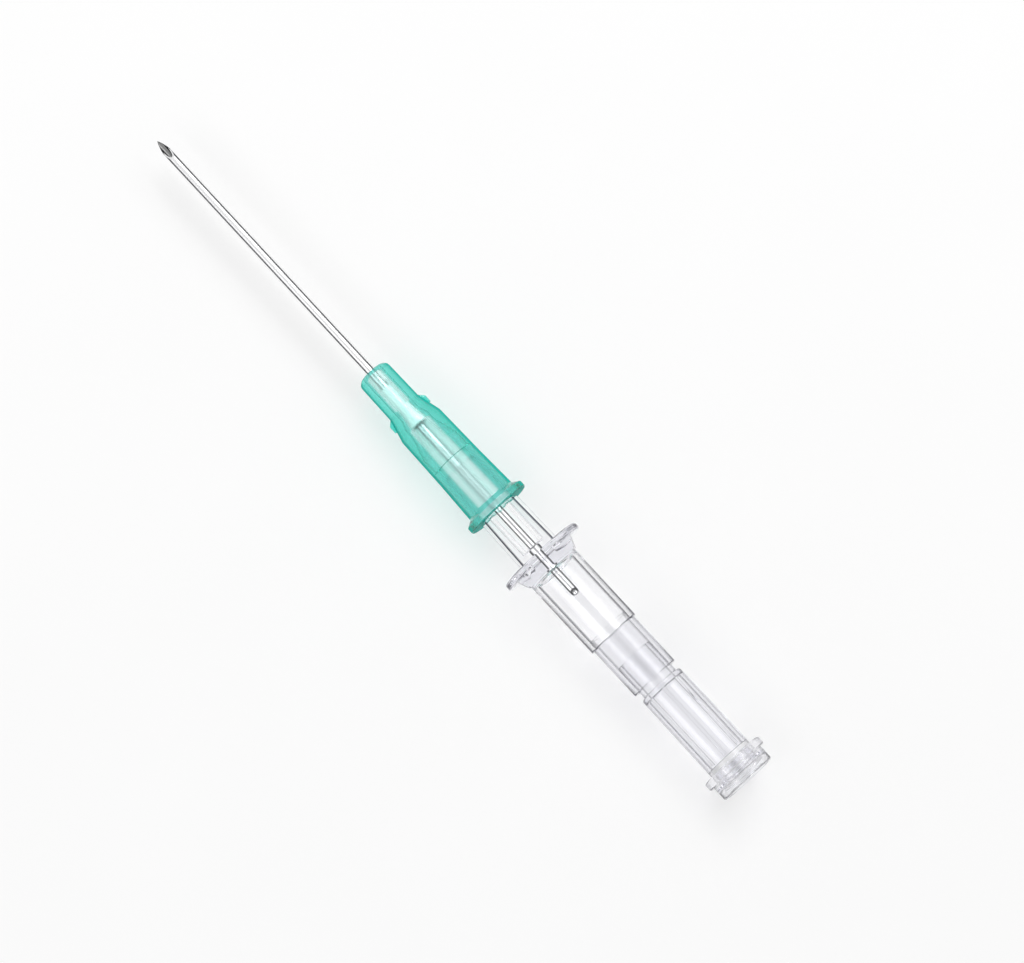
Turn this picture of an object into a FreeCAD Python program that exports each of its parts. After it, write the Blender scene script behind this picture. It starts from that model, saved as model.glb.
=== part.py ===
"""Over-the-needle IV cannula, lying on its side. Millimetres, +Z up.

Stations along the axis are measured from the front face of the green nose, rearward positive. At the
end every piece is moved so that the origin is under the middle of the whole part, on the surface that
it lies on, with the needle pointing along -X.
"""

import FreeCAD, Part
import math
import os

Vector = FreeCAD.Vector
AXIS = Vector(1, 0, 0)
UP = Vector(0, 0, 1)
CENTRE = Vector(0, 0, 0)
SAME_POINT = 1e-7

# Running and seating clearances, on the radius
needle_clearance = 0.02     # needle in the catheter tube and the ferrule
luer_clearance = 0.02       # male luer in the hub's socket
plug_clearance = 0.04       # vent plug in the flash chamber
bond_gap = 0.01             # bonded or pressed pieces of one body

# Needle
needle_od = 0.95
needle_wall = 0.12
needle_show = 3.3           # length of needle ahead of the catheter's tip
bevel_length = 2.94
lancet_turn = 50.0          # degrees, each side grind about the needle's axis
lancet_angle = 21.0         # degrees, each side grind to the needle's axis
needle_rear_reach = 3.5     # length behind the web of the needle hub
needle_rear_slant = 0.7     # length of the oblique rear end

# Catheter tube
tube_od = 1.30
tube_length = 32.0          # from its tip to the green nose
tube_tip_taper = 1.6
tube_tip_wall = 0.06
tube_root_od = 1.66         # thickened root that the nose holds
tube_root_cone = 0.31       # length of its cone, ahead of the green nose
tube_swell_length = 0.4     # where the bore widens over the ferrule's sleeve
tube_flare_length = 1.0
tube_flare_grow = 0.24      # growth of the radius at the flared end

# Catheter hub, outside
nose_od = 4.00
nose_length = 5.37
nose_grow = 0.07            # growth of the nose's radius towards the shoulder
nose_rounding = 0.77
shoulder_length = 2.76
body_front_od = 5.56
body_middle_od = 5.81
body_middle_station = 14.5
body_rear_od = 6.17
hub_length = 20.77
flange_od = 7.83
flange_width = 0.74
flange_flare = 0.55
flange_chamfer = 0.12

# Fins on the hub's shoulder
fin_count = 2
fin_height = 0.56
fin_rise = 0.55
fin_length = 1.45
fin_thickness = 0.36

# Catheter hub, inside
luer_mouth_od = 4.30
luer_taper = 0.06           # on the diameter
luer_depth = 7.6
luer_lead_in = 0.15
chamber_r = 1.62
chamber_length = 2.0
funnel_length = 2.6
throat_length = 0.9         # straight part that holds the ferrule's rim

# Ferrule
ferrule_wall = 0.09
ferrule_sleeve = 4.25       # straight part ahead of the flare
ferrule_rim = 0.35

# Needle hub
luer_insertion = 6.36
luer_bore_r = 1.0
luer_nose_chamfer = 0.12
plate_station = 27.40
plate_thickness = 0.83
plate_length = 10.30
plate_depth = 7.70
plate_chamfer = 0.18
web_thickness = 3.2         # between the luer's bore and the barrel's bore
neck_rib_count = 2
neck_rib_front_r = 2.51
neck_rib_rear_r = 2.61
neck_rib_thickness = 0.5
neck_rib_gap = 0.15         # behind the catheter hub
collar_sides = 8
collar_front_flats = 7.68   # across flats
collar_rear_flats = 6.60    # across flats
collar_length = 1.35
barrel_od = 6.36
barrel_id = 5.30
barrel_length = 9.8
barrel_chamfer = 0.12
barrel_floor = 0.15         # from the collar's rear to the barrel's floor
barrel_floor_chamfer = 0.35

# Flash chamber
flash_od = 5.84
flash_bore = 4.72
flash_length = 6.6
flash_spigot = 1.0
flash_chamfer = 0.10

# Vent plug
plug_front_od = 5.48
plug_rear_od = 5.65
plug_length = 12.6          # from its front shoulder to its rear face
plug_neck = 0.9             # gap between the flash chamber and that shoulder
plug_spigot_depth = 3.4
plug_spigot_bore = 3.70
plug_bore = 4.66
plug_wall_front = 0.55
plug_chamfer = 0.25
flute_count = 8
flute_height = 0.10
flute_width = 0.34
flute_end_gap = 0.3         # from the end of each rib to the filter's seat
seat_od = 5.00              # recess in the plug's rear that takes the filter
seat_depth = 1.9

# Vent filter
filter_thickness = 0.8

# End cap
cap_od = 6.86
cap_flange_width = 1.0      # its flange has the same standard diameter as the hub's
cap_flange_chamfer = 0.18
cap_overlap = 1.3           # length over the plug's rear
cap_web = 0.4
cap_vent_r = 1.2
cap_mouth_r = 2.90
cap_mouth_depth = 1.1
cap_chamfer = 0.25

# Worked-out sizes
needle_r = needle_od / 2
lumen_r = needle_r - needle_wall
tube_r = tube_od / 2
tube_bore_r = needle_r + needle_clearance
tube_wall = tube_r - tube_bore_r
ferrule_bore_r = needle_r + needle_clearance
ferrule_r = ferrule_bore_r + ferrule_wall
tube_root_r = tube_root_od / 2
flare_r = tube_root_r + tube_flare_grow
wedge_r = flare_r - tube_wall - bond_gap
luer_mouth_r = luer_mouth_od / 2
luer_slope = luer_taper / 2
flange_r = flange_od / 2
tube_tip_station = -tube_length
needle_tip_station = tube_tip_station - needle_show
nose_rear_r = nose_od / 2 + nose_grow
shoulder_station = nose_length + shoulder_length
flange_station = hub_length - flange_width
luer_floor_station = hub_length - luer_depth
luer_floor_r = luer_mouth_r - luer_slope * luer_depth
chamber_station = luer_floor_station - chamber_length
throat_station = chamber_station - funnel_length
seat_station = throat_station - throat_length
flare_station = seat_station - tube_flare_length
sleeve_station = flare_station - ferrule_sleeve
luer_tip_station = hub_length - luer_insertion
plate_rear_station = plate_station + plate_thickness
collar_rear_station = plate_rear_station + collar_length
barrel_floor_station = collar_rear_station + barrel_floor
luer_bore_end = barrel_floor_station - web_thickness
needle_rear_station = barrel_floor_station + needle_rear_reach
barrel_r = barrel_od / 2
barrel_bore_r = barrel_id / 2
barrel_rear_station = collar_rear_station + barrel_length
flash_rear_station = barrel_rear_station + flash_length
flash_bore_r = flash_bore / 2
plug_station = flash_rear_station + plug_neck
plug_rear_station = plug_station + plug_length
plug_spigot_r = flash_bore_r - plug_clearance
plug_bore_r = plug_bore / 2
seat_r = seat_od / 2
seat_floor_station = plug_rear_station - seat_depth
cap_station = plug_rear_station - cap_overlap
cap_web_rear = plug_rear_station + bond_gap + cap_web
cap_rear_station = cap_web_rear + cap_mouth_depth
middle_station = (needle_tip_station + cap_rear_station) / 2


def rounded(station, radius, rounding):
    """Corner of an outline that is blended with two flats, which meet on the arc of that rounding."""
    return (station, radius, rounding, True)


def chamfered(station, radius, leg):
    """Corner of an outline that is cut off straight, the same length on both sides."""
    return (station, radius, leg, False)


def blend(before, corner, after):
    """Points that a corner of an outline becomes: one, two at a chamfer, three at a rounding."""
    here = Vector(corner[0], 0, corner[1])
    if len(corner) == 2:
        return [here]
    back = (Vector(before[0], 0, before[1]) - here).normalize()
    on = (Vector(after[0], 0, after[1]) - here).normalize()
    size = corner[2]
    if not corner[3]:
        return [here + back * size, here + on * size]
    half = back.getAngle(on) / 2
    reach = size / math.tan(half)
    middle = here + (back + on).normalize() * (size / math.sin(half) - size)
    return [here + back * reach, middle, here + on * reach]


def turned(corners):
    """Solid of revolution about the axis, of an outline given as (station, radius) corners."""
    points = []
    for i, corner in enumerate(corners):
        points += blend(corners[i - 1], corner, corners[(i + 1) % len(corners)])
    return Part.Face(Part.makePolygon(points + points[:1])).revolve(CENTRE, AXIS, 360)


def half_space(point, outward, size):
    """Large block whose face lies in the plane through point, on the side that outward points to."""
    block = Part.makeBox(size, size, size, Vector(-size / 2, -size / 2, 0))
    block.Placement = FreeCAD.Placement(point, FreeCAD.Rotation(UP, outward))
    return block


def around(shape, count, start=0.0):
    """The shape repeated evenly about the object's axis, from a start angle in degrees."""
    copies = []
    for i in range(count):
        copy = shape.copy()
        copy.rotate(CENTRE, AXIS, start + 360.0 * i / count)
        copies.append(copy)
    return copies


def side_webs(corners, thickness, count):
    """Flat webs out of the sides, of an outline given as (station, radius) corners."""
    points = [Vector(station, 0, radius) for station, radius in corners]
    web = Part.Face(Part.makePolygon(points + points[:1])).extrude(Vector(0, thickness, 0))
    web.translate(Vector(0, -thickness / 2, 0))
    return around(web, count, 90.0)


def luer_r(station):
    """Radius of the socket's 6 % cone at a station."""
    return luer_mouth_r - luer_slope * (hub_length - station)


def make_needle():
    """Drawn tube with a lancet point of three ground planes and an oblique rear end."""
    tube = turned([
        (needle_tip_station, lumen_r),
        (needle_rear_station, lumen_r),
        (needle_rear_station, needle_r),
        (needle_tip_station, needle_r),
    ])
    tip = Vector(needle_tip_station, 0, -needle_r)
    size = 4 * (bevel_length + needle_od)
    slope = math.atan2(needle_od, bevel_length)
    tube = tube.cut(half_space(tip, Vector(-math.sin(slope), 0, math.cos(slope)), size))
    grind = math.radians(lancet_angle)
    for side in (-1, 1):
        outward = Vector(-math.sin(grind), 0, math.cos(grind))
        outward = FreeCAD.Rotation(AXIS, side * lancet_turn).multVec(outward)
        tube = tube.cut(half_space(tip, outward, size))
    rear = Vector(needle_rear_station, 0, -needle_r)
    slant = math.atan2(needle_od, needle_rear_slant)
    return tube.cut(half_space(rear, Vector(math.sin(slant), 0, math.cos(slant)), size))


def make_catheter_tube():
    """Thin tube, tapered at its tip, with a thick root that widens over the ferrule and ends flared."""
    sleeve_bore_r = ferrule_r + bond_gap
    return turned([
        (tube_tip_station, tube_bore_r),
        (sleeve_station - tube_swell_length, tube_bore_r),
        (sleeve_station, sleeve_bore_r),
        (flare_station, sleeve_bore_r),
        (seat_station, wedge_r + bond_gap),
        (seat_station, flare_r),
        (flare_station, tube_root_r),
        (0, tube_root_r),
        (-tube_root_cone, tube_r),
        (tube_tip_station + tube_tip_taper, tube_r),
        (tube_tip_station, tube_bore_r + tube_tip_wall),
    ])


def make_ferrule():
    """Metal eyelet: a thin sleeve inside the tube, the wedge in its flare and the rim behind it."""
    rim_front = seat_station + bond_gap
    rim_rear = rim_front + ferrule_rim
    return turned([
        (sleeve_station, ferrule_bore_r),
        (flare_station, ferrule_bore_r),
        (seat_station, wedge_r - ferrule_wall),
        (rim_rear, wedge_r - ferrule_wall),
        (rim_rear, flare_r),
        (rim_front, flare_r),
        (rim_front, wedge_r),
        (seat_station, wedge_r),
        (flare_station, ferrule_r),
        (sleeve_station, ferrule_r),
    ])


def make_catheter_hub():
    """Green moulding: nose, finned shoulder, body and luer flange outside, luer socket inside."""
    bore_r = tube_root_r + bond_gap
    seat_bore_r = flare_r + bond_gap
    solid = turned([
        (0, bore_r),
        rounded(0, nose_od / 2, nose_rounding),
        (nose_length, nose_rear_r),
        (shoulder_station, body_front_od / 2),
        (body_middle_station, body_middle_od / 2),
        (flange_station - flange_flare, body_rear_od / 2),
        (flange_station, flange_r),
        chamfered(hub_length, flange_r, flange_chamfer),
        (hub_length, luer_mouth_r + luer_lead_in),
        (hub_length - luer_lead_in, luer_r(hub_length - luer_lead_in)),
        (luer_floor_station, luer_floor_r),
        (luer_floor_station, chamber_r),
        (chamber_station, chamber_r),
        (throat_station, seat_bore_r),
        (seat_station, seat_bore_r),
        (flare_station, bore_r),
    ])
    foot = nose_rear_r - nose_grow
    crest = nose_rear_r + fin_height
    fins = side_webs([
        (nose_length, foot),
        (nose_length, nose_rear_r),
        (nose_length + fin_rise, crest),
        (nose_length + fin_length, crest),
        (nose_length + fin_length, foot),
    ], fin_thickness, fin_count)
    return solid.fuse(fins).removeSplitter()


def push_off_plate():
    """Oval plate across the axis: straight above and below, round at both ends, with chamfered rims."""
    end_r = plate_depth / 2
    reach = plate_length / 2 - end_r
    start = Vector(plate_station, -reach, end_r)
    turn = Vector(plate_station, reach, end_r)
    back = Vector(plate_station, reach, -end_r)
    close = Vector(plate_station, -reach, -end_r)
    rim = Part.Wire([
        Part.LineSegment(start, turn).toShape(),
        Part.Arc(turn, Vector(plate_station, plate_length / 2, 0), back).toShape(),
        Part.LineSegment(back, close).toShape(),
        Part.Arc(close, Vector(plate_station, -plate_length / 2, 0), start).toShape(),
    ])
    plate = Part.Face(rim).extrude(AXIS * plate_thickness)
    rims = [edge for edge in plate.Edges if edge.BoundBox.XLength < SAME_POINT]
    return plate.makeChamfer(plate_chamfer, rims)


def collar_ring(station, flats):
    """Regular polygon about the axis with one flat facing up, given its width across flats."""
    radius = flats / 2 / math.cos(math.pi / collar_sides)
    corners = []
    for i in range(collar_sides + 1):
        angle = 2 * math.pi * (i + 0.5) / collar_sides
        corners.append(Vector(station, radius * math.sin(angle), radius * math.cos(angle)))
    return Part.makePolygon(corners)


def make_needle_hub():
    """Clear moulding: male luer with its neck ribs, push-off plate, faceted collar and barrel."""
    bore_r = needle_r + bond_gap
    nose = turned([
        (luer_tip_station, luer_bore_r),
        (luer_bore_end, luer_bore_r),
        (luer_bore_end, bore_r),
        (plate_rear_station, bore_r),
        (plate_rear_station, luer_r(plate_station) - luer_clearance),
        (plate_station, luer_r(plate_station) - luer_clearance),
        chamfered(luer_tip_station, luer_r(luer_tip_station) - luer_clearance, luer_nose_chamfer),
    ])
    hole = Part.makeCylinder(
        bore_r, collar_rear_station - plate_station, Vector(plate_station, 0, 0), AXIS
    )
    plate = push_off_plate().cut(hole)
    collar = Part.makeLoft([
        collar_ring(plate_rear_station, collar_front_flats),
        collar_ring(collar_rear_station, collar_rear_flats),
    ], True, True).cut(hole)
    rib_front = hub_length + neck_rib_gap
    rib_foot = (luer_bore_r + luer_mouth_r) / 2
    ribs = side_webs([
        (rib_front, rib_foot),
        (rib_front, neck_rib_front_r),
        (plate_station, neck_rib_rear_r),
        (plate_rear_station, neck_rib_rear_r),
        (plate_rear_station, rib_foot),
    ], neck_rib_thickness, neck_rib_count)
    barrel = turned([
        (collar_rear_station, bore_r),
        (barrel_floor_station, bore_r),
        chamfered(barrel_floor_station, barrel_bore_r, barrel_floor_chamfer),
        (barrel_rear_station, barrel_bore_r),
        chamfered(barrel_rear_station, barrel_r, barrel_chamfer),
        (collar_rear_station, barrel_r),
    ])
    return nose.fuse(ribs + [plate, collar, barrel]).removeSplitter()


def make_flash_chamber():
    """Clear tube whose front spigot is held in the barrel."""
    spigot_r = barrel_bore_r - bond_gap
    spigot_front = barrel_rear_station - flash_spigot
    face = barrel_rear_station + bond_gap
    return turned([
        (spigot_front, flash_bore_r),
        (flash_rear_station, flash_bore_r),
        chamfered(flash_rear_station, flash_od / 2, flash_chamfer),
        (face, flash_od / 2),
        (face, spigot_r),
        (spigot_front, spigot_r),
    ])


def make_vent_plug():
    """Clear plug body with its spigot in front, a ribbed bore and the filter's seat at the rear."""
    spigot_end = flash_rear_station - plug_spigot_depth
    floor_station = plug_station + plug_wall_front
    body = turned([
        (spigot_end, plug_spigot_bore / 2),
        (floor_station, plug_spigot_bore / 2),
        (floor_station, plug_bore_r),
        (seat_floor_station, plug_bore_r),
        (seat_floor_station, seat_r),
        (plug_rear_station, seat_r),
        (plug_rear_station, plug_rear_od / 2),
        chamfered(plug_station, plug_front_od / 2, plug_chamfer),
        (plug_station, plug_spigot_r),
        (spigot_end, plug_spigot_r),
    ])
    rib = Part.makeBox(
        seat_floor_station - floor_station - flute_end_gap,
        flute_width,
        2 * flute_height,
        Vector(floor_station, -flute_width / 2, plug_bore_r - flute_height),
    )
    return body.fuse(around(rib, flute_count)).removeSplitter()


def make_vent_filter():
    """Porous disc in the plug's seat."""
    face = seat_floor_station + bond_gap
    return Part.makeCylinder(seat_r - bond_gap, filter_thickness, Vector(face, 0, 0), AXIS)


def make_end_cap():
    """Flanged cap over the plug's rear, with the stub that clamps the filter and a vent hole."""
    sleeve_r = plug_rear_od / 2 + bond_gap
    stub_r = seat_r - bond_gap
    filter_rear = seat_floor_station + filter_thickness + 2 * bond_gap
    web_front = plug_rear_station + bond_gap
    flange_rear = cap_station + cap_flange_width
    return turned([
        (cap_station, sleeve_r),
        chamfered(cap_station, flange_r, cap_flange_chamfer),
        chamfered(flange_rear, flange_r, cap_flange_chamfer),
        (flange_rear, cap_od / 2),
        chamfered(cap_rear_station, cap_od / 2, cap_chamfer),
        (cap_rear_station, cap_mouth_r),
        (cap_web_rear, cap_mouth_r),
        (cap_web_rear, cap_vent_r),
        (filter_rear, cap_vent_r),
        (filter_rear, stub_r),
        (web_front, stub_r),
        (web_front, sleeve_r),
    ])


def main():
    pieces = {
        "needle": make_needle(),
        "catheter_tube": make_catheter_tube(),
        "ferrule": make_ferrule(),
        "catheter_hub": make_catheter_hub(),
        "needle_hub": make_needle_hub(),
        "flash_chamber": make_flash_chamber(),
        "vent_plug": make_vent_plug(),
        "vent_filter": make_vent_filter(),
        "end_cap": make_end_cap(),
    }
    os.makedirs("parts", exist_ok=True)
    for name, shape in pieces.items():
        shape.translate(Vector(-middle_station, 0, flange_r))
        shape.exportStep(os.path.join("parts", name + ".step"))
        box = shape.optimalBoundingBox(True, False)
        print(
            f"{name}: {len(shape.Solids)} solid, valid {shape.isValid()}, {shape.Volume:.3f} mm3,"
            f" x {box.XMin:.2f}..{box.XMax:.2f}, y {box.YMin:.2f}..{box.YMax:.2f},"
            f" z {box.ZMin:.2f}..{box.ZMax:.2f}"
        )


main()
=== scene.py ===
"""Looks of an over-the-needle IV cannula that lies on a white table.

Sizes are in millimetres. Stations run along the axis from the front face of the green nose, rearward
positive, and the frame's +X is that axis. A name that ends in R is a radius.
"""

import math

import bmesh
import bpy
from mathutils import Matrix, Vector

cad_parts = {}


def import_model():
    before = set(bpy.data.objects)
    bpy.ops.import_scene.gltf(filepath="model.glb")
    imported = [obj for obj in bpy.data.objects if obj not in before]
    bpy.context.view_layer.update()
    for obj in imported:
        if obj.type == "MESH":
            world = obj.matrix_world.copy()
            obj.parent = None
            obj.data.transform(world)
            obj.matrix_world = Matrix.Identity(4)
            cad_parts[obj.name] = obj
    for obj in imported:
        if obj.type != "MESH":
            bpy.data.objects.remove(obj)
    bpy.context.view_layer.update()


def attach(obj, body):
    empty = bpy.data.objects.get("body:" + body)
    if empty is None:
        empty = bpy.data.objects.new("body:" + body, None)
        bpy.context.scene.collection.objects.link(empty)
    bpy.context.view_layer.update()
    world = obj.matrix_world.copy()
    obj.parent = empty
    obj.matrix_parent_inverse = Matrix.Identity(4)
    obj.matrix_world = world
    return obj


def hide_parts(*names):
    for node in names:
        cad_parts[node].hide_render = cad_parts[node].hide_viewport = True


MM = 0.001
NOSE_X = -12.845            # frame X of station 0
AXIS_Z = 3.915              # height of the axis over the table
BEYOND = 99                 # a station behind the last piece
TURN_STEPS = 160            # faces round the axis
ARC_STEPS = 6               # faces in each rounded corner
WEB_STEPS = 3               # faces in each softened edge of a web
SHARP_ANGLE = 32.0          # degrees, edges above this stay crisp
WELD = 1e-8                 # metres, points nearer than this are joined
TINT_MARK = "tint"          # marks on the faces
PAINTED_RIM_MARK = "rim"

# Camera
CAMERA_DISTANCE = 600.0
CAMERA_TILT = 6.3           # degrees from straight down, towards the rear end
AXIS_SLOPE = 47.15          # degrees that the axis runs down to the right in the picture
AIM = (6.6, 3.17, 3.9)      # frame point at the middle of the picture
PIXELS_PER_MM = 9.12
PICTURE_WIDTH = 1024
SENSOR_WIDTH = 36.0

# Roundings that several corners share
HAIR_EDGE = 0.08
FINE_EDGE = 0.1
EDGE = 0.12
SOFT_EDGE = 0.2
WIDE_EDGE = 0.25

# Needle
NEEDLE_TIP = -35.3
NEEDLE_REAR = 33.23
NEEDLE_R = 0.475
NEEDLE_SPARE = 0.1          # length beyond each end, which the cuts take off
LUMEN_R = 0.355
BEVEL_LENGTH = 2.94
LANCET_TURN = 50.0          # degrees that each side grind is turned about the axis
LANCET_ANGLE = 21.0         # degrees between a side grind and the axis
LANCET_LEAD = 0.05          # how far ahead of the tip the two side grinds would meet
REAR_SLANT = 0.7            # how much shorter the rear end is on top
CUTTER_SIZE = 16

# Catheter tube
TUBE_TIP = -32.0
TUBE_TIP_ROUNDING = 0.02
TUBE_TAPER_END = -30.4
TUBE_R = 0.65
TUBE_BORE_R = 0.495
TUBE_TIP_R = 0.555
ROOT_R = 0.83
ROOT_CONE = 0.31            # length of the cone that stands out of the nose
ROOT_ROUNDING = 0.06
SWELL = 2.02                # where the bore starts to widen for the ferrule
SLEEVE = 2.42               # front of the ferrule
FLARE = 6.67                # where tube and ferrule start to flare
SEAT = 7.67                 # rear end of the tube's flare
SWOLLEN_BORE_R = 0.595
FLARED_R = 1.07
WEDGE_R = 0.905
BOND_GAP = 0.01

# Ferrule
FERRULE_R = 0.585
FERRULE_WALL = 0.09
FERRULE_MOUTH_ROUNDING = 0.09
FERRULE_RIM_WIDTH = 0.35
FERRULE_RIM_ROUNDING = 0.16

# Catheter hub
NOSE_R = 2.00
NOSE_REAR = 5.37
NOSE_REAR_R = 2.07
NOSE_ROUNDING = 0.77
NOSE_REAR_ROUNDING = 0.4
SHOULDER = 8.13             # where the body has its width
SHOULDER_ROUNDING = 1.2
BODY_FRONT_R = 2.78
BODY_MIDDLE = 14.5
BODY_MIDDLE_R = 2.905
BODY_REAR_R = 3.085
FLARE_FRONT = 19.48         # where the body starts to flare out to the flange
FLARE_ROUNDING = 0.3
FLANGE = 20.03              # where the flange has its width
FLANGE_R = 3.915
HUB_REAR = 20.77
HUB_REAR_ROUNDING = 0.14
LUER_FLOOR = 13.17
LUER_FLOOR_R = 1.922
LUER_FLOOR_ROUNDING = 0.15
CHAMBER = 11.17             # where the chamber ahead of the luer socket has its width
CHAMBER_R = 1.62
CHAMBER_ROUNDING = 0.4
THROAT = 8.57               # rear end of the ferrule's throat
LUER_MOUTH_R = 2.15
FIN_FRONT = 5.37
FIN_CREST = 5.92
FIN_REAR = 6.82
FIN_CREST_R = 2.63
FIN_FOOT_R = NOSE_R - 0.3   # inside the nose's wall
FIN_THICKNESS = 0.36
FIN_ROUNDING = 0.06

# Needle hub
MALE_TIP = 14.41
MALE_TIP_R = 1.9392
MALE_BORE_R = 1.0
MALE_BORE_END = 26.53
NECK_R = 2.3289
PLATE = 27.40               # front face of the push-off plate
PLATE_REAR = 28.23
PLATE_LENGTH = 10.30
PLATE_DEPTH = 7.70
PLATE_ROUNDING = 0.22
RIB_FRONT = 20.92
RIB_FRONT_R = 2.51
RIB_REAR = PLATE + 0.3      # inside the plate
RIB_REAR_R = 2.61
RIB_FOOT_R = MALE_BORE_R + 0.5          # inside the neck's wall
RIB_THICKNESS = 0.5
RIB_ROUNDING = 0.08
COLLAR_FRONT = PLATE_REAR - 0.3         # inside the plate
COLLAR_REAR = 29.58
COLLAR_FRONT_FLATS = 7.68
COLLAR_REAR_FLATS = 6.60
COLLAR_ROUNDING = 0.25
FLAT_TURN = 45              # degrees from one flat of the collar to the next
CORE_R = NECK_R - 0.2       # inside plate and collar
BARREL_FRONT = COLLAR_REAR - 0.4        # inside the collar
BARREL_FLOOR = 29.73
BARREL_FLOOR_ROUNDING = 0.35
BARREL_R = 3.18
BARREL_BORE_R = 2.65
BARREL_REAR = 39.38

# Flash chamber
FLASH_R = 2.92
FLASH_BORE_R = 2.36
FLASH_SPIGOT_FRONT = 38.38
FLASH_REAR = 45.98

# Vent plug
PLUG_SPIGOT_FRONT = 42.58
PLUG_SPIGOT_R = 2.32
PLUG_SPIGOT_BORE_R = 1.85
PLUG_FRONT = 46.88
PLUG_FRONT_R = 2.74
PLUG_REAR_R = 2.825
PLUG_FLOOR = 47.43
PLUG_BORE_R = 2.33
PLUG_SEAT = 57.58
PLUG_SEAT_R = 2.50
PLUG_REAR = 59.48
FLUTE_COUNT = 8
FLUTE_FRONT = PLUG_FLOOR - 0.1          # inside the floor
FLUTE_REAR = PLUG_SEAT - 0.3
FLUTE_HEIGHT = 0.10
FLUTE_WIDTH = 0.34
FLUTE_ROUNDING = 0.03

# Vent filter
FILTER_THICKNESS = 0.8

# End cap
CAP_FRONT = 58.18
CAP_FLANGE_REAR = 59.18
CAP_R = 3.43
CAP_WEB_REAR = 59.89
CAP_REAR = 60.99
CAP_REAR_ROUNDING = 0.28
CAP_VENT_R = 1.2
CAP_MOUTH_R = 2.90

# Plastics. Tint and density are what the walls take out of the light per metre, shade is what a
# surface lets pass in shadows, straight and slanted are the tints of outer walls seen from the
# front and at a slant, which paint light and shade where they differ, rim is the colour of the
# painted shade laid where a wall is nearly in line with the sight, and frost is how much rougher
# the bores are.
PLASTIC_IOR = 1.5
CLEAR = {
    "tint": (0.3, 0.3, 0.45),
    "density": 90.0,
    "shade": (0.9, 0.9, 0.91),
    "straight": (0.93, 0.93, 0.95),
    "slanted": (0.93, 0.93, 0.95),
    # dark edge colour of the clear walls: painted shade
    "rim": (0.08, 0.08, 0.11),
    "frost": 0.0,
}
THICK = {**CLEAR, "density": 20.0}      # plate and end cap are looked through from edge to edge
GREEN = {
    "tint": (0.05, 0.75, 0.7),
    "density": 145.0,
    "shade": (0.95, 0.975, 0.97),
    # straight and slanted paint light and shade: paler where a wall faces the sight, darker and more
    # saturated at a slant
    "straight": (0.76, 0.935, 0.91),
    "slanted": (0.1, 0.76, 0.66),
    # saturated green edge colour: painted shade
    "rim": (0.0, 0.5, 0.41),
    "frost": 0.38,
}
# the slanted tint is painted shade
SLANTED = (0.11, 0.17)      # where the tint of slanted outer walls sets in
# where the painted dark rim sets in
PAINTED_RIM = (0.5, 0.66)           # where the rim sets in

# Walls, in stretches up to a station: the share of the painted dark rim that outer walls show, the share
# of the painted dark rim that bores show, and the share of the tint that all walls but the bores take
BORE_START = 29.8           # just behind the barrel's floor
FLARE_START = 19.3          # just ahead of the green flare's rounding
NEEDLE_HUB_WALLS = [
    (HUB_REAR, 0.3, 0.1, 0),
    (PLATE, 0.95, 0.2, 0),
    (BORE_START, 0.25, 0.3, 1),
    (BEYOND, 0.25, 1, 0.5),
]
FLASH_WALLS = [(BARREL_REAR, 0.25, 0.5, 0), (BEYOND, 0.25, 0.5, 1)]
PLUG_WALLS = [(FLASH_REAR, 0.25, 0.5, 0), (CAP_FRONT, 0.25, 0.5, 1), (BEYOND, 0.05, 0.1, 0)]
CAP_WALLS = [(BEYOND, 0.2, 0.1, 1)]
GREEN_WALLS = [(FLARE_START, 0.85, 0.35, 1), (BEYOND, 0.8, 0.1, 1)]
# the rim on the green faces across the axis is painted shade too
GREEN_ENDS = 0.8            # share of the rim on the green faces across the axis
WEB_TINT = 1.2              # thin webs show the slanted tint from every side
BORE_TURN = -0.5            # faces that turn further towards the axis take no tint
SQUARE_TURN = 0.9           # how squarely a face has to turn out, in or along to show a rim
WEB_SLACK = 0.3             # how far the sides of a web may lean out or along

# Surfaces. Marks are noises, as scale per metre, detail and stretch; bumps are a strength and a
# distance; the rest are stops, as a position and the roughness, cover or colour there
FLOW_MARKS = (260, 2, (0.25, 1, 1))
FLOW_BUMP = (0.06, 0.03)
POLISH = [(0.3, 0.015), (0.7, 0.04)]
TUBE_COLOUR = (0.93, 0.94, 0.95)
# rising cover at the slant: a painted reflection that shows the tube's edges
TUBE_PAINTED_EDGE = [(0.0, 0.03), (0.8, 0.06), (1.0, 0.22)]    # over the slant
TUBE_MARKS = (900, 2, (0.2, 1, 1))
TUBE_POLISH = [(0.3, 0.08), (0.7, 0.14)]
FILTER_GRAINS = 7000
FILTER_TINTS = [(0.0, (0.86, 0.86, 0.85)), (0.6, (0.78, 0.78, 0.77))]
FILTER_ROUGHNESS = 0.9
FILTER_BUMP = (0.6, 0.05)

# Steels, whose edge is the colour at a slant; on the needle and in its bore the darker edge is painted
# shade
STEEL = {
    "colour": (0.85, 0.85, 0.86),
    # darker colour of the needle at a slant: painted shade
    "edge": (0.1, 0.1, 0.11),
    "roughness": 0.16,
    "metallic": 1.0,
    "stretch": (0.04, 1, 1),
}
# darker steel of the bore: painted shade in the narrow bore
LUMEN_SHADE = {
    "colour": (0.2, 0.2, 0.2),
    "edge": (0.01, 0.01, 0.01),
    "roughness": 0.35,
    "metallic": 1.0,
    "stretch": (0.1, 1, 1),
}
EYELET = {
    "colour": (0.92, 0.92, 0.92),
    "edge": (0.92, 0.92, 0.92),
    "roughness": 0.5,
    "metallic": 0.5,
    "stretch": (1, 1, 1),
}
# where the painted shade on slanted steel sets in
STEEL_PAINTED_EDGE = (0.22, 0.36)   # where the colour of slanted steel sets in
STEEL_LINES = (6000, 3)
STEEL_SPREAD = [(0.2, 0.8), (0.8, 1.3)]     # roughness over the lines, as shares
STEEL_BUMP = (0.06, 0.004)

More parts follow.
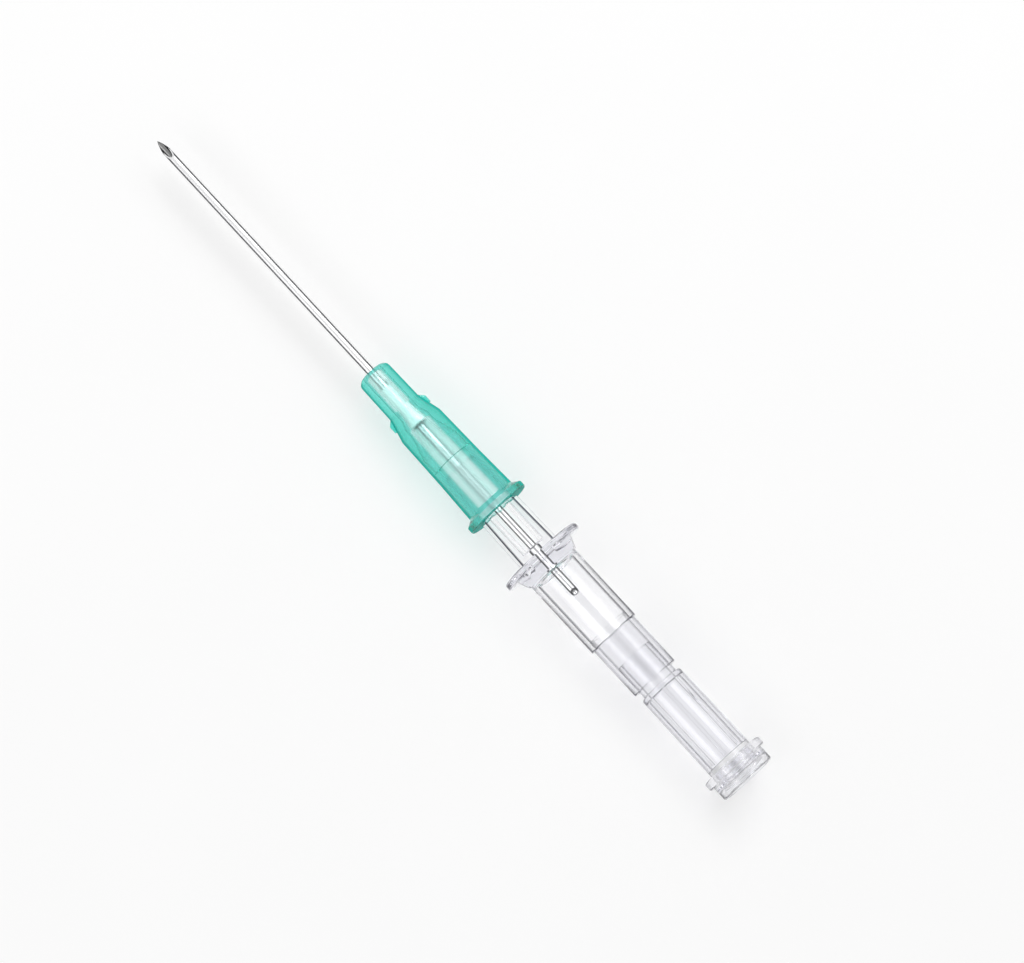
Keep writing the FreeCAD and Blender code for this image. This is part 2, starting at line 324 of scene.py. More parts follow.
# Table, sky and lamps
TABLE_SIZE = 3000.0
TABLE_GLOW = 0.442
TABLE_WHITE = [(0.0, 0.55), (1.0, 0.57)]
TABLE_MARKS = (40, 3)
SKY_LEVEL = 0.52            # what the sky lights
SKY_WHITE = 0.95            # what the camera, gloss and plastic show of it
SKY = [(0.0, 1.0), (0.955, 1.0), (0.985, 0.4), (1.0, 0.4)]      # brightness over the height
STRIP_REACH = 420           # to each side
STRIP_HEIGHT = 430
STRIP_SIZE = (700, 260)
STRIP_WATTS = 0.75
KEY_PLACE = (-300, 300, 470)
KEY_SIZE = (280, 280)
KEY_WATTS = 1.2
PLASTIC_BOUNCES = 24
GLOSS_BOUNCES = 8


def place(station, across, up):
    """Frame point, in metres, of a station and the distances from the axis in millimetres."""
    return Vector(((NOSE_X + station) * MM, across * MM, (AXIS_Z + up) * MM))


def outline(corners):
    """Closed outline through (station, radius) corners, rounded by the radius in a third value."""
    points = []
    for i, corner in enumerate(corners):
        here = Vector(corner[:2])
        if len(corner) == 2:
            points.append(here)
            continue
        back = (Vector(corners[i - 1][:2]) - here).normalized()
        on = (Vector(corners[(i + 1) % len(corners)][:2]) - here).normalized()
        half = back.angle(on) / 2
        centre = here + (back + on).normalized() * corner[2] / math.sin(half)
        reach = corner[2] / math.tan(half)
        start = here + back * reach - centre
        end = here + on * reach - centre
        for step in range(ARC_STEPS + 1):
            points.append(centre + start.slerp(end, step / ARC_STEPS) * corner[2])
    return points


def on_line(station, start, end):
    """Corner at a station of the straight wall between two corners, where a stretch can end."""
    share = (station - start[0]) / (end[0] - start[0])
    return station, start[1] + (end[1] - start[1]) * share


def as_object(name, mesh):
    """Object of a bmesh, with smooth faces, crisp edges and outward normals."""
    bmesh.ops.remove_doubles(mesh, verts=mesh.verts, dist=WELD)
    bmesh.ops.recalc_face_normals(mesh, faces=mesh.faces)
    data = bpy.data.meshes.new(name)
    mesh.to_mesh(data)
    mesh.free()
    made = bpy.data.objects.new(name, data)
    bpy.context.collection.objects.link(made)
    return shaded(made)


def shaded(piece):
    """Smooth faces, with the edges above the sharp angle kept crisp."""
    piece.data.shade_smooth()
    piece.data.set_sharp_from_angle(angle=math.radians(SHARP_ANGLE))
    return piece


def turned(name, corners):
    """Solid of revolution about the axis."""
    mesh = bmesh.new()
    rings = []
    for station, radius in outline(corners):
        ring = []
        for i in range(TURN_STEPS):
            angle = 2 * math.pi * i / TURN_STEPS
            ring.append(mesh.verts.new(place(station, radius * math.sin(angle), radius * math.cos(angle))))
        rings.append((radius, ring))
    for i, (radius, ring) in enumerate(rings):
        before_r, before = rings[i - 1]
        if radius == before_r == 0:
            continue
        for j in range(TURN_STEPS):
            mesh.faces.new((before[j - 1], before[j], ring[j], ring[j - 1]))
    return as_object(name, mesh)


def lofted(name, rings):
    """Closed solid through rings of the same number of points, with flat ends."""
    mesh = bmesh.new()
    made = [[mesh.verts.new(point) for point in ring] for ring in rings]
    for before, ring in zip(made, made[1:]):
        for j in range(len(ring)):
            mesh.faces.new((before[j - 1], before[j], ring[j], ring[j - 1]))
    mesh.faces.new(made[0])
    mesh.faces.new(made[-1])
    return as_object(name, mesh)


def combined(piece, others, operation):
    """The piece joined with the others, or cut by them, as one clean mesh."""
    for other in others:
        step = piece.modifiers.new(other.name, "BOOLEAN")
        step.operation = operation
        step.solver = "EXACT"
        step.object = other
    depsgraph = bpy.context.evaluated_depsgraph_get()
    data = bpy.data.meshes.new_from_object(piece.evaluated_get(depsgraph))
    piece.modifiers.clear()
    piece.data = data
    for other in others:
        bpy.data.objects.remove(other)
    return shaded(piece)


def half_space(point, outward):
    """Block whose face lies in the plane through the point, on the side that outward points to."""
    size = CUTTER_SIZE * MM
    mesh = bmesh.new()
    bmesh.ops.create_cube(mesh, size=size)
    turn = outward.to_track_quat("Z", "Y").to_matrix().to_4x4()
    shift = Matrix.Translation(point + outward.normalized() * size / 2)
    bmesh.ops.transform(mesh, matrix=shift @ turn, verts=mesh.verts)
    return as_object("cutter", mesh)


def web(name, corners, thickness, side, rounding):
    """Flat web on one side of the axis, of (station, radius) corners, with softened edges."""
    mesh = bmesh.new()
    lower = [mesh.verts.new(place(x, side * r, -thickness / 2)) for x, r in corners]
    upper = [mesh.verts.new(place(x, side * r, thickness / 2)) for x, r in corners]
    mesh.faces.new(lower)
    mesh.faces.new(upper)
    for j in range(len(corners)):
        mesh.faces.new((lower[j - 1], lower[j], upper[j], upper[j - 1]))
    bmesh.ops.recalc_face_normals(mesh, faces=mesh.faces)
    bmesh.ops.bevel(
        mesh, geom=mesh.edges[:], offset=rounding * MM, segments=WEB_STEPS, profile=0.5, affect="EDGES"
    )
    return as_object(name, mesh)


def stadium(station, inset):
    """Ring of the push-off plate's oval outline, drawn in by the inset."""
    reach = (PLATE_LENGTH - PLATE_DEPTH) / 2
    radius = PLATE_DEPTH / 2 - inset
    ring = []
    for side in (1, -1):
        for i in range(TURN_STEPS // 2 + 1):
            angle = side * math.pi / 2 - math.pi * i / (TURN_STEPS // 2)
            across = side * reach + radius * math.cos(angle)
            ring.append(place(station, across, radius * math.sin(angle)))
    return ring


def octagon(station, flats):
    """Ring of the collar's flats, a width apart across the axis, with softened corners."""
    reach = (flats / 2 - COLLAR_ROUNDING) / math.cos(math.radians(FLAT_TURN / 2))
    ring = []
    for i in range(360 // FLAT_TURN):
        middle = math.radians(FLAT_TURN * i + FLAT_TURN / 2)
        for step in range(ARC_STEPS + 1):
            angle = math.radians(FLAT_TURN * i + FLAT_TURN * step / ARC_STEPS)
            across = reach * math.sin(middle) + COLLAR_ROUNDING * math.sin(angle)
            up = reach * math.cos(middle) + COLLAR_ROUNDING * math.cos(angle)
            ring.append(place(station, across, up))
    return ring


def make_needle():
    """Steel tube with a lancet point of three ground planes and an oblique rear end."""
    front = NEEDLE_TIP - NEEDLE_SPARE
    back = NEEDLE_REAR + NEEDLE_SPARE
    tube = turned("needle_steel", [
        (front, LUMEN_R),
        (0, LUMEN_R),
        (back, LUMEN_R),
        (back, NEEDLE_R),
        (front, NEEDLE_R),
    ])
    tip = place(NEEDLE_TIP, 0, -NEEDLE_R)
    lead = place(NEEDLE_TIP - LANCET_LEAD, 0, -NEEDLE_R)
    rear = place(NEEDLE_REAR, 0, -NEEDLE_R)
    bevel = math.atan2(2 * NEEDLE_R, BEVEL_LENGTH)
    rear_cut = math.atan2(2 * NEEDLE_R, REAR_SLANT)
    grind = math.radians(LANCET_ANGLE)
    cutters = [half_space(tip, Vector((-math.sin(bevel), 0, math.cos(bevel))))]
    for side in (-1, 1):
        outward = Vector((-math.sin(grind), 0, math.cos(grind)))
        outward.rotate(Matrix.Rotation(math.radians(side * LANCET_TURN), 3, "X"))
        cutters.append(half_space(lead, outward))
    cutters.append(half_space(rear, Vector((math.sin(rear_cut), 0, math.cos(rear_cut)))))
    return combined(tube, cutters, "DIFFERENCE")


def make_catheter_tube():
    """Thin clear tube with its tapered tip, the small cone at the nose and the flare at its rear."""
    return turned("tube", [
        (TUBE_TIP, TUBE_BORE_R),
        (SWELL, TUBE_BORE_R),
        (SLEEVE, SWOLLEN_BORE_R),
        (FLARE, SWOLLEN_BORE_R),
        (SEAT, WEDGE_R + BOND_GAP),
        (SEAT, FLARED_R),
        (FLARE, ROOT_R),
        (0, ROOT_R, ROOT_ROUNDING),
        (-ROOT_CONE, TUBE_R),
        (TUBE_TAPER_END, TUBE_R),
        (TUBE_TIP, TUBE_TIP_R, TUBE_TIP_ROUNDING),
    ])


def make_ferrule():
    """Metal eyelet: sleeve, wedge and rim."""
    rim_front = SEAT + BOND_GAP
    rim_rear = rim_front + FERRULE_RIM_WIDTH
    return turned("eyelet", [
        (SLEEVE, TUBE_BORE_R),
        (FLARE, TUBE_BORE_R),
        (SEAT, WEDGE_R - FERRULE_WALL),
        (rim_rear, WEDGE_R - FERRULE_WALL, FERRULE_MOUTH_ROUNDING),
        (rim_rear, FLARED_R, FERRULE_RIM_ROUNDING),
        (rim_front, FLARED_R, HAIR_EDGE),
        (rim_front, WEDGE_R),
        (SEAT, WEDGE_R),
        (FLARE, FERRULE_R),
        (SLEEVE, FERRULE_R),
    ])


def make_catheter_hub():
    """Green moulding with its fins outside and the luer socket inside."""
    hub = turned("hub", [
        (0, ROOT_R + BOND_GAP),
        (0, NOSE_R, NOSE_ROUNDING),
        (NOSE_REAR, NOSE_REAR_R, NOSE_REAR_ROUNDING),
        (SHOULDER, BODY_FRONT_R, SHOULDER_ROUNDING),
        (BODY_MIDDLE, BODY_MIDDLE_R),
        (FLARE_FRONT, BODY_REAR_R, FLARE_ROUNDING),
        (FLANGE, FLANGE_R, EDGE),
        (HUB_REAR, FLANGE_R, HUB_REAR_ROUNDING),
        (HUB_REAR, LUER_MOUTH_R, EDGE),
        (LUER_FLOOR, LUER_FLOOR_R, LUER_FLOOR_ROUNDING),
        (LUER_FLOOR, CHAMBER_R),
        (CHAMBER, CHAMBER_R, CHAMBER_ROUNDING),
        (THROAT, FLARED_R + BOND_GAP),
        (SEAT, FLARED_R + BOND_GAP),
        (FLARE, ROOT_R + BOND_GAP),
    ])
    side_view = [
        (FIN_FRONT, FIN_FOOT_R),
        (FIN_FRONT, NOSE_REAR_R),
        (FIN_CREST, FIN_CREST_R),
        (FIN_REAR, FIN_CREST_R),
        (FIN_REAR, FIN_FOOT_R),
    ]
    fins = [web("fin", side_view, FIN_THICKNESS, side, FIN_ROUNDING) for side in (-1, 1)]
    return combined(hub, fins, "UNION")


def make_plate():
    """Oval push-off plate with rounded edges."""
    rings = []
    for step in range(ARC_STEPS + 1):
        angle = math.pi / 2 * step / ARC_STEPS
        inset = PLATE_ROUNDING * (1 - math.sin(angle))
        rings.append(stadium(PLATE + PLATE_ROUNDING * (1 - math.cos(angle)), inset))
    for step in range(ARC_STEPS + 1):
        angle = math.pi / 2 * step / ARC_STEPS
        inset = PLATE_ROUNDING * (1 - math.cos(angle))
        rings.append(stadium(PLATE_REAR - PLATE_ROUNDING * (1 - math.sin(angle)), inset))
    return lofted("plate", rings)


def make_needle_hub():
    """Clear moulding: male luer, neck ribs, push-off plate, faceted collar and barrel."""
    core = turned("needle_hub_clear", [
        (MALE_TIP, MALE_BORE_R, HAIR_EDGE),
        (HUB_REAR, MALE_BORE_R),
        (MALE_BORE_END, MALE_BORE_R, WIDE_EDGE),
        (MALE_BORE_END, 0),
        (BARREL_FLOOR, 0),
        (BARREL_FLOOR, BARREL_BORE_R, BARREL_FLOOR_ROUNDING),
        (BARREL_REAR, BARREL_BORE_R, HAIR_EDGE),
        (BARREL_REAR, BARREL_R, EDGE),
        (BARREL_FRONT, BARREL_R),
        (BARREL_FRONT, CORE_R),
        (PLATE, CORE_R),
        (PLATE, NECK_R),
        on_line(HUB_REAR, (MALE_TIP, MALE_TIP_R), (PLATE, NECK_R)),
        (MALE_TIP, MALE_TIP_R, EDGE),
    ])
    plate = make_plate()
    collar = lofted("collar", [
        octagon(COLLAR_FRONT, COLLAR_FRONT_FLATS),
        octagon(PLATE_REAR, COLLAR_FRONT_FLATS),
        octagon(COLLAR_REAR, COLLAR_REAR_FLATS),
    ])
    side_view = [
        (RIB_FRONT, RIB_FOOT_R),
        (RIB_FRONT, RIB_FRONT_R),
        (RIB_REAR, RIB_REAR_R),
        (RIB_REAR, RIB_FOOT_R),
    ]
    ribs = [web("rib", side_view, RIB_THICKNESS, side, RIB_ROUNDING) for side in (-1, 1)]
    return combined(core, [plate, collar] + ribs, "UNION")


def make_flash_chamber():
    """Clear tube with the spigot that the barrel holds."""
    face = BARREL_REAR + BOND_GAP
    spigot_r = BARREL_BORE_R - BOND_GAP
    return turned("flash_tube", [
        (FLASH_SPIGOT_FRONT, FLASH_BORE_R, HAIR_EDGE),
        (FLASH_REAR, FLASH_BORE_R, HAIR_EDGE),
        (FLASH_REAR, FLASH_R, FINE_EDGE),
        (face, FLASH_R, FINE_EDGE),
        (face, spigot_r),
        (FLASH_SPIGOT_FRONT, spigot_r, HAIR_EDGE),
    ])


def make_vent_plug():
    """Clear plug with its spigot in front, small ribs in its bore and the filter's seat."""
    plug = turned("plug_clear", [
        (PLUG_SPIGOT_FRONT, PLUG_SPIGOT_BORE_R, FINE_EDGE),
        (PLUG_FLOOR, PLUG_SPIGOT_BORE_R),
        (PLUG_FLOOR, PLUG_BORE_R, SOFT_EDGE),
        (PLUG_SEAT, PLUG_BORE_R),
        (PLUG_SEAT, PLUG_SEAT_R, HAIR_EDGE),
        (PLUG_REAR, PLUG_SEAT_R),
        (PLUG_REAR, PLUG_REAR_R),
        on_line(CAP_FRONT, (PLUG_REAR, PLUG_REAR_R), (PLUG_FRONT, PLUG_FRONT_R)),
        (PLUG_FRONT, PLUG_FRONT_R, WIDE_EDGE),
        (PLUG_FRONT, PLUG_SPIGOT_R, FINE_EDGE),
        (FLASH_REAR, PLUG_SPIGOT_R),
        (PLUG_SPIGOT_FRONT, PLUG_SPIGOT_R, EDGE),
    ])
    side_view = [
        (FLUTE_FRONT, PLUG_BORE_R - FLUTE_HEIGHT),
        (FLUTE_REAR, PLUG_BORE_R - FLUTE_HEIGHT),
        (FLUTE_REAR, PLUG_BORE_R + FLUTE_HEIGHT),
        (FLUTE_FRONT, PLUG_BORE_R + FLUTE_HEIGHT),
    ]
    centre = place(0, 0, 0)
    flutes = []
    for i in range(FLUTE_COUNT):
        flute = web("flute", side_view, FLUTE_WIDTH, 1, FLUTE_ROUNDING)
        turn = Matrix.Rotation(2 * math.pi * i / FLUTE_COUNT, 4, "X")
        flute.data.transform(Matrix.Translation(centre) @ turn @ Matrix.Translation(-centre))
        flutes.append(flute)
    return combined(plug, flutes, "UNION")


def make_vent_filter():
    """Porous disc."""
    front = PLUG_SEAT + BOND_GAP
    rear = front + FILTER_THICKNESS
    return turned("filter_disc", [
        (front, 0),
        (rear, 0),
        (rear, PLUG_SEAT_R - BOND_GAP, FINE_EDGE),
        (front, PLUG_SEAT_R - BOND_GAP, FINE_EDGE),
    ])


def make_end_cap():
    """Flanged cap with the stub that clamps the filter, and a vent hole through its web."""
    sleeve_r = PLUG_REAR_R + BOND_GAP
    stub_r = PLUG_SEAT_R - BOND_GAP
    stub_front = PLUG_SEAT + FILTER_THICKNESS + 2 * BOND_GAP
    web_front = PLUG_REAR + BOND_GAP
    return turned("cap_clear", [
        (CAP_FRONT, sleeve_r, HAIR_EDGE),
        (CAP_FRONT, FLANGE_R, SOFT_EDGE),
        (CAP_FLANGE_REAR, FLANGE_R, SOFT_EDGE),
        (CAP_FLANGE_REAR, CAP_R, FINE_EDGE),
        (CAP_REAR, CAP_R, CAP_REAR_ROUNDING),
        (CAP_REAR, CAP_MOUTH_R, EDGE),
        (CAP_WEB_REAR, CAP_MOUTH_R, SOFT_EDGE),
        (CAP_WEB_REAR, CAP_VENT_R, FINE_EDGE),
        (stub_front, CAP_VENT_R),
        (stub_front, stub_r, FINE_EDGE),
        (web_front, stub_r),
        (web_front, sleeve_r),
    ])


def shader_tree(name):
    """New node material, with its tree and its main shader."""
    material = bpy.data.materials.new(name)
    material.use_nodes = True
    tree = material.node_tree
    return material, tree, tree.nodes["Principled BSDF"]


def ramp(tree, factor, stops):
    """Colour ramp over a factor, of (position, colour) stops."""
    node = tree.nodes.new("ShaderNodeValToRGB")
    band = node.color_ramp
    while len(band.elements) < len(stops):
        band.elements.new(0.5)
    for element, (position, colour) in zip(band.elements, stops):
        element.position = position
        element.color = (*colour, 1)
    tree.links.new(factor, node.inputs["Fac"])
    return node.outputs["Color"]


def grey_stops(stops):
    """Colour stops of a ramp that carries a number."""
    return [(at, (amount,) * 3) for at, amount in stops]


def noise(tree, scale, detail, stretch=(1, 1, 1)):
    """Noise over the object's own coordinates."""
    where = tree.nodes.new("ShaderNodeTexCoord")
    mapping = tree.nodes.new("ShaderNodeMapping")
    mapping.inputs["Scale"].default_value = stretch
    tree.links.new(where.outputs["Object"], mapping.inputs["Vector"])
    node = tree.nodes.new("ShaderNodeTexNoise")
    node.inputs["Scale"].default_value = scale
    node.inputs["Detail"].default_value = detail
    tree.links.new(mapping.outputs["Vector"], node.inputs["Vector"])
    return node.outputs["Fac"]


def bump(tree, height, strength, distance):
    """Bump from a height, whose distance is in millimetres."""
    node = tree.nodes.new("ShaderNodeBump")
    node.inputs["Strength"].default_value = strength
    node.inputs["Distance"].default_value = distance * MM
    tree.links.new(height, node.inputs["Height"])
    return node.outputs["Normal"]


def arithmetic(tree, operation, *terms, clamp=False):
    """Result of an operation on terms that are numbers or sockets."""
    node = tree.nodes.new("ShaderNodeMath")
    node.operation = operation
    node.use_clamp = clamp
    for term, socket in zip(terms, node.inputs):
        if isinstance(term, (int, float)):
            socket.default_value = term
        else:
            tree.links.new(term, socket)
    return node.outputs["Value"]


def mixed(tree, share, first, second):
    """Mix of two shaders by the share of the second."""
    node = tree.nodes.new("ShaderNodeMixShader")
    tree.links.new(share, node.inputs["Fac"])
    tree.links.new(first, node.inputs[1])
    tree.links.new(second, node.inputs[2])
    return node.outputs["Shader"]


def mark(tree, name):
    """Value of a mark on the faces."""
    node = tree.nodes.new("ShaderNodeAttribute")
    node.attribute_name = name
    return node.outputs["Fac"]


def slant(tree):
    """How slanted the surface is to the line of sight, from 0 to 1."""
    node = tree.nodes.new("ShaderNodeLayerWeight")
    node.inputs["Blend"].default_value = 0.5
    return node.outputs["Facing"]


def wall_tint(tree, look, facing, taken):
    """White where a wall takes no tint, and elsewhere the look's tint for the slant, which paints light
    and shade where the straight and slanted tints differ.
    """
    surplus = arithmetic(tree, "SUBTRACT", taken, 1.0, clamp=True)
    lean = arithmetic(tree, "ADD", facing, surplus)
    stops = [(SLANTED[0], look["straight"]), (SLANTED[1], look["slanted"])]
    tint = tree.nodes.new("ShaderNodeMixRGB")
    tree.links.new(taken, tint.inputs["Fac"])
    tint.inputs["Color1"].default_value = (1, 1, 1, 1)
    tree.links.new(ramp(tree, lean, stops), tint.inputs["Color2"])
    return tint.outputs["Color"]


def wall_roughness(tree, look, taken, marks):
    """Roughness that follows the flow marks, with the look's frost added where no tint is taken."""
    polished = ramp(tree, marks, grey_stops(POLISH))
    bare = arithmetic(tree, "SUBTRACT", 1.0, taken, clamp=True)
    return arithmetic(tree, "MULTIPLY_ADD", bare, look["frost"], polished)


def with_painted_rim(tree, shader, look, facing):
    """The shader, with the rim's colour over it where a wall is nearly in line with the sight, as painted
    shade at the wall's edge.
    """
    in_line = ramp(tree, facing, grey_stops([(PAINTED_RIM[0], 0.0), (PAINTED_RIM[1], 1.0)]))
    share = arithmetic(tree, "MULTIPLY", mark(tree, PAINTED_RIM_MARK), in_line)
    painted_rim_shader = tree.nodes.new("ShaderNodeBsdfDiffuse")
    painted_rim_shader.inputs["Color"].default_value = (*look["rim"], 1)
    return mixed(tree, share, shader, painted_rim_shader.outputs["BSDF"])


def light_through(tree, shader, colour):
    """The shader, which lets light pass in shadows, tinted by the colour."""
    path = tree.nodes.new("ShaderNodeLightPath")
    open_way = tree.nodes.new("ShaderNodeBsdfTransparent")
    open_way.inputs["Color"].default_value = (*colour, 1)
    return mixed(tree, path.outputs["Is Shadow Ray"], shader, open_way.outputs["BSDF"])


def glass_material(name, look):
    """Moulded plastic that light goes through, with faint flow marks, tints by the slant that paint light
    and shade, and a painted dark rim.
    """
    material, tree, shader = shader_tree(name)
    facing = slant(tree)
    taken = mark(tree, TINT_MARK)
    marks = noise(tree, *FLOW_MARKS)
    tree.links.new(wall_tint(tree, look, facing, taken), shader.inputs["Base Color"])
    tree.links.new(wall_roughness(tree, look, taken, marks), shader.inputs["Roughness"])
    tree.links.new(bump(tree, marks, *FLOW_BUMP), shader.inputs["Normal"])
    shader.inputs["Transmission Weight"].default_value = 1.0
    shader.inputs["IOR"].default_value = PLASTIC_IOR
    surface = light_through(tree, with_painted_rim(tree, shader.outputs["BSDF"], look, facing), look["shade"])
    inside = tree.nodes.new("ShaderNodeVolumeAbsorption")
    inside.inputs["Color"].default_value = (*look["tint"], 1)
    inside.inputs["Density"].default_value = look["density"]
    output = tree.nodes["Material Output"]
    tree.links.new(surface, output.inputs["Surface"])
    tree.links.new(inside.outputs["Volume"], output.inputs["Volume"])
    return material


def steel_material(name, look):
    """Drawn steel with fine lines along the axis and the look's edge colour where it is seen at a slant,
    which paints shade on the edges where that colour is darker.
    """
    material, tree, shader = shader_tree(name)
    straight, edge = look["colour"], look["edge"]
    tints = [(0.0, straight), (STEEL_PAINTED_EDGE[0], straight), (STEEL_PAINTED_EDGE[1], edge), (1.0, edge)]
    tree.links.new(ramp(tree, slant(tree), tints), shader.inputs["Base Color"])
    shader.inputs["Metallic"].default_value = look["metallic"]
    shader.inputs["Specular Tint"].default_value = (*edge, 1)
    lines = noise(tree, *STEEL_LINES, look["stretch"])
    spread = [(at, look["roughness"] * share) for at, share in STEEL_SPREAD]
    tree.links.new(ramp(tree, lines, grey_stops(spread)), shader.inputs["Roughness"])
    tree.links.new(bump(tree, lines, *STEEL_BUMP), shader.inputs["Normal"])
    return material


def tube_material():
    """Very clear thin tube that doesn't bend the light, with a faint gloss; its cover rises at the slant,
    a painted reflection that shows its edges.
    """
    material, tree, shader = shader_tree("tube_clear")
    shader.inputs["Base Color"].default_value = (*TUBE_COLOUR, 1)
    tree.links.new(ramp(tree, slant(tree), grey_stops(TUBE_PAINTED_EDGE)), shader.inputs["Alpha"])
    marks = noise(tree, *TUBE_MARKS)
    tree.links.new(ramp(tree, marks, grey_stops(TUBE_POLISH)), shader.inputs["Roughness"])
    return material


def filter_material():
    """Sintered white granules."""
    material, tree, shader = shader_tree("filter_white")
    grains = tree.nodes.new("ShaderNodeTexVoronoi")
    grains.inputs["Scale"].default_value = FILTER_GRAINS
    where = tree.nodes.new("ShaderNodeTexCoord")
    tree.links.new(where.outputs["Object"], grains.inputs["Vector"])
    distance = grains.outputs["Distance"]
    tree.links.new(ramp(tree, distance, FILTER_TINTS), shader.inputs["Base Color"])
    shader.inputs["Roughness"].default_value = FILTER_ROUGHNESS
    tree.links.new(bump(tree, distance, *FILTER_BUMP), shader.inputs["Normal"])
    return material


def shown_rays(tree):
    """1 for what the camera sees, also in gloss and through plastic, and 0 for light that falls."""
    path = tree.nodes.new("ShaderNodeLightPath")
    shown = path.outputs["Is Camera Ray"]
    for kind in ("Is Glossy Ray", "Is Transmission Ray"):
        shown = arithmetic(tree, "MAXIMUM", shown, path.outputs[kind])
    return shown


def table_material():
    """White table that keeps shadows; its own glow lifts the lit part to white."""
    material, tree, shader = shader_tree("table_white")
    marks = noise(tree, *TABLE_MARKS)
    tree.links.new(ramp(tree, marks, grey_stops(TABLE_WHITE)), shader.inputs["Base Color"])
    shader.inputs["Roughness"].default_value = 1.0
    shader.inputs["Specular IOR Level"].default_value = 0.0
    shader.inputs["Emission Color"].default_value = (1, 1, 1, 1)
    glow = arithmetic(tree, "MULTIPLY", shown_rays(tree), TABLE_GLOW)
    tree.links.new(glow, shader.inputs["Emission Strength"])
    return material


def marked(piece, stretches, ends=0.0):
    """The piece, with each wall's share of the tint and of the painted dark rim marked on its faces."""
    piece.data.attributes.new(TINT_MARK, "FLOAT", "FACE")
    piece.data.attributes.new(PAINTED_RIM_MARK, "FLOAT", "FACE")
    tint = piece.data.attributes[TINT_MARK].data
    rim = piece.data.attributes[PAINTED_RIM_MARK].data
    for face in piece.data.polygons:
        out = face.center - place(0, 0, 0)
        outer, inner, taken = next(shares[1:] for shares in stretches if out.x < shares[0] * MM)
        out.x = 0
        turn = face.normal.dot(out.normalized())
        if turn > BORE_TURN:
            is_web = abs(turn) < WEB_SLACK and abs(face.normal.x) < WEB_SLACK
            tint[face.index].value = taken * (WEB_TINT if is_web else 1)
        if turn < -SQUARE_TURN:
            rim[face.index].value = inner
        elif turn > SQUARE_TURN:
            rim[face.index].value = outer
        elif abs(face.normal.x) > SQUARE_TURN:
            rim[face.index].value = ends
    return piece


def finish_piece(piece, material, node, body):
    """Gives a piece its material and its place in the frame's bodies, and hides the CAD node that it
    stands for.
    """
    piece.data.materials.clear()
    piece.data.materials.append(material)
    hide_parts(node)
    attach(piece, body)


def shade_lumen(needle, material):
    """Gives the needle's inner wall a darker material, as far back as the green nose, which paints the
    shade in the bore.
    """
    needle.data.materials.append(material)
    for face in needle.data.polygons:
        out = face.center - place(0, 0, 0)
        if out.x > 0:
            continue
        out.x = 0
        if out.length < (LUMEN_R + NEEDLE_R) / 2 * MM and face.normal.dot(out) < 0:
            face.material_index = 1


def make_part():
    """All pieces, with their materials."""
    clear = glass_material("clear_plastic", CLEAR)
    thick = glass_material("clear_moulding", THICK)
    green = glass_material("hub_green", GREEN)
    steel = steel_material("needle_steel", STEEL)
    eyelet = steel_material("eyelet_metal", EYELET)
    needle = make_needle()
    finish_piece(needle, steel, "needle", "needle_unit")
    shade_lumen(needle, steel_material("lumen_painted_shade", LUMEN_SHADE))
    needle_hub = marked(make_needle_hub(), NEEDLE_HUB_WALLS)
    finish_piece(needle_hub, thick, "needle_hub", "needle_unit")
    flash_chamber = marked(make_flash_chamber(), FLASH_WALLS)
    finish_piece(flash_chamber, clear, "flash_chamber", "needle_unit")
    finish_piece(make_catheter_tube(), tube_material(), "catheter_tube", "catheter")
    finish_piece(make_ferrule(), eyelet, "ferrule", "catheter")
    catheter_hub = marked(make_catheter_hub(), GREEN_WALLS, GREEN_ENDS)
    finish_piece(catheter_hub, green, "catheter_hub", "catheter")
    vent_plug = marked(make_vent_plug(), PLUG_WALLS)
    finish_piece(vent_plug, clear, "vent_plug", "plug")
    finish_piece(make_vent_filter(), filter_material(), "vent_filter", "plug")
    end_cap = marked(make_end_cap(), CAP_WALLS)
    finish_piece(end_cap, thick, "end_cap", "plug")


def make_table():
    """Plain table under the part."""
    mesh = bmesh.new()
    half = TABLE_SIZE * MM / 2
    corners = [mesh.verts.new((x * half, y * half, 0)) for x, y in ((-1, -1), (1, -1), (1, 1), (-1, 1))]
    mesh.faces.new(corners)
    table = as_object("table", mesh)
    table.data.materials.append(table_material())


def make_world():
    """Soft white tent with a darker crown overhead."""
    world = bpy.data.worlds.new("studio")
    world.use_nodes = True
    tree = world.node_tree
    where = tree.nodes.new("ShaderNodeTexCoord")
    split = tree.nodes.new("ShaderNodeSeparateXYZ")
    tree.links.new(where.outputs["Generated"], split.inputs["Vector"])
    colour = ramp(tree, split.outputs["Z"], grey_stops(SKY))
    seen = tree.nodes.new("ShaderNodeBackground")
    seen.inputs["Strength"].default_value = SKY_WHITE
    tree.links.new(colour, seen.inputs["Color"])
    lit = tree.nodes["Background"]
    lit.inputs["Strength"].default_value = SKY_LEVEL
    tree.links.new(colour, lit.inputs["Color"])
    sky = mixed(tree, shown_rays(tree), lit.outputs["Background"], seen.outputs["Background"])
    tree.links.new(sky, tree.nodes["World Output"].inputs["Surface"])
    bpy.context.scene.world = world


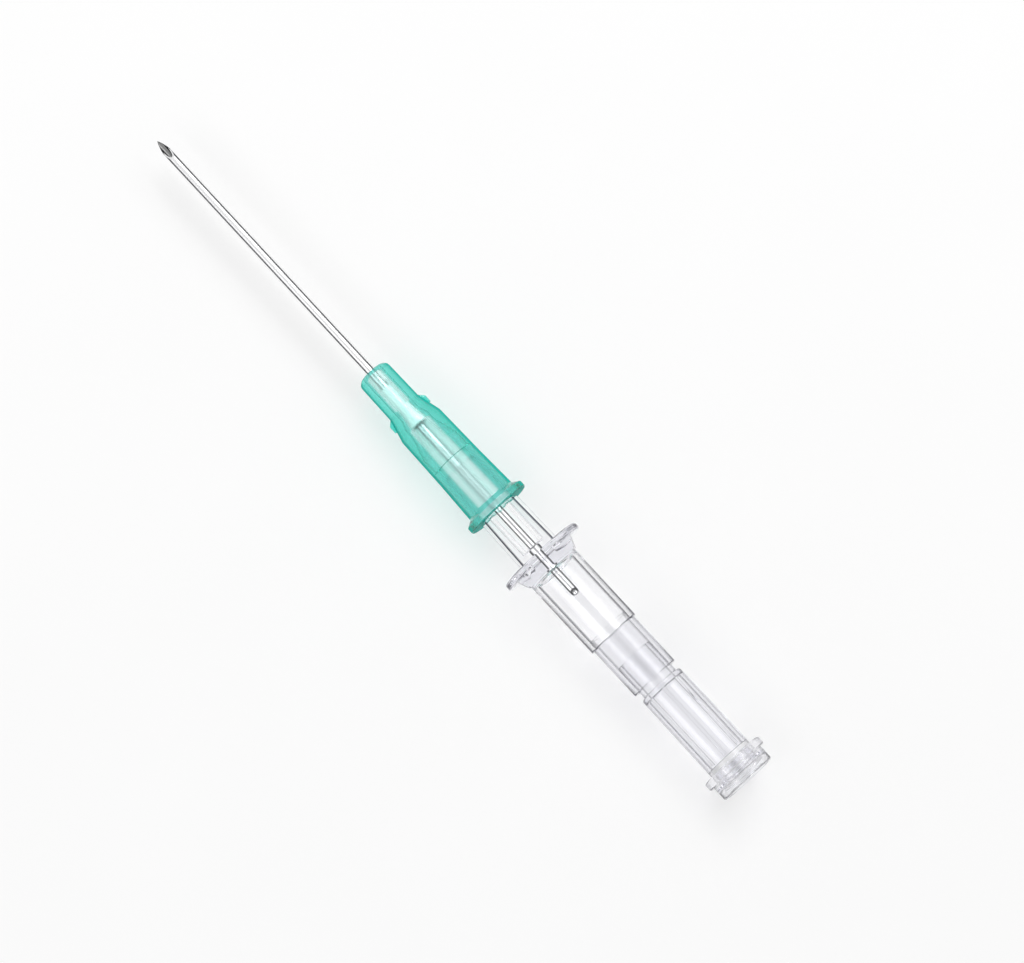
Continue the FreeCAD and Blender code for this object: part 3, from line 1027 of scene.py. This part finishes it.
def soft_lamp(name, place_mm, size, watts):
    """Rectangular lamp that faces the part, with its long side along the axis."""
    data = bpy.data.lights.new(name, "AREA")
    data.shape = "RECTANGLE"
    data.size = size[0] * MM
    data.size_y = size[1] * MM
    data.energy = watts
    lamp = bpy.data.objects.new(name, data)
    bpy.context.collection.objects.link(lamp)
    lamp.location = Vector(place_mm) * MM
    back = lamp.location.normalized()
    along = (Vector((1, 0, 0)) - back * back.x).normalized()
    turn = Matrix((along, back.cross(along), back)).transposed().to_4x4()
    lamp.matrix_world = Matrix.Translation(lamp.location) @ turn


def make_camera():
    """Long lens over the part, with the axis running down to the right."""
    tilt = math.radians(CAMERA_TILT)
    slope = math.radians(AXIS_SLOPE)
    back = Vector((math.sin(tilt), 0, math.cos(tilt)))
    along = Vector((math.cos(tilt), 0, -math.sin(tilt)))
    across = Vector((0, 1, 0))
    right = along * math.cos(slope) + across * math.sin(slope)
    up = across * math.cos(slope) - along * math.sin(slope)
    data = bpy.data.cameras.new("camera")
    data.sensor_width = SENSOR_WIDTH
    data.lens = PIXELS_PER_MM / PICTURE_WIDTH * SENSOR_WIDTH * CAMERA_DISTANCE
    data.clip_start = CAMERA_DISTANCE * MM / 10
    camera = bpy.data.objects.new("camera", data)
    bpy.context.collection.objects.link(camera)
    turn = Matrix((right, up, back)).transposed().to_4x4()
    camera.matrix_world = Matrix.Translation((Vector(AIM) + back * CAMERA_DISTANCE) * MM) @ turn
    bpy.context.scene.camera = camera


def make_studio():
    """Table, sky, lamps and camera, and how far light is followed."""
    make_table()
    make_world()
    for side in (-1, 1):
        soft_lamp("strip", (0, side * STRIP_REACH, STRIP_HEIGHT), STRIP_SIZE, STRIP_WATTS)
    soft_lamp("key", KEY_PLACE, KEY_SIZE, KEY_WATTS)
    make_camera()
    scene = bpy.context.scene
    scene.view_settings.view_transform = "Standard"
    scene.cycles.max_bounces = PLASTIC_BOUNCES
    scene.cycles.transmission_bounces = PLASTIC_BOUNCES
    scene.cycles.transparent_max_bounces = PLASTIC_BOUNCES
    scene.cycles.glossy_bounces = GLOSS_BOUNCES


def main():
    """Builds the part and its studio in the frame."""
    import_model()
    make_part()
    make_studio()


main()
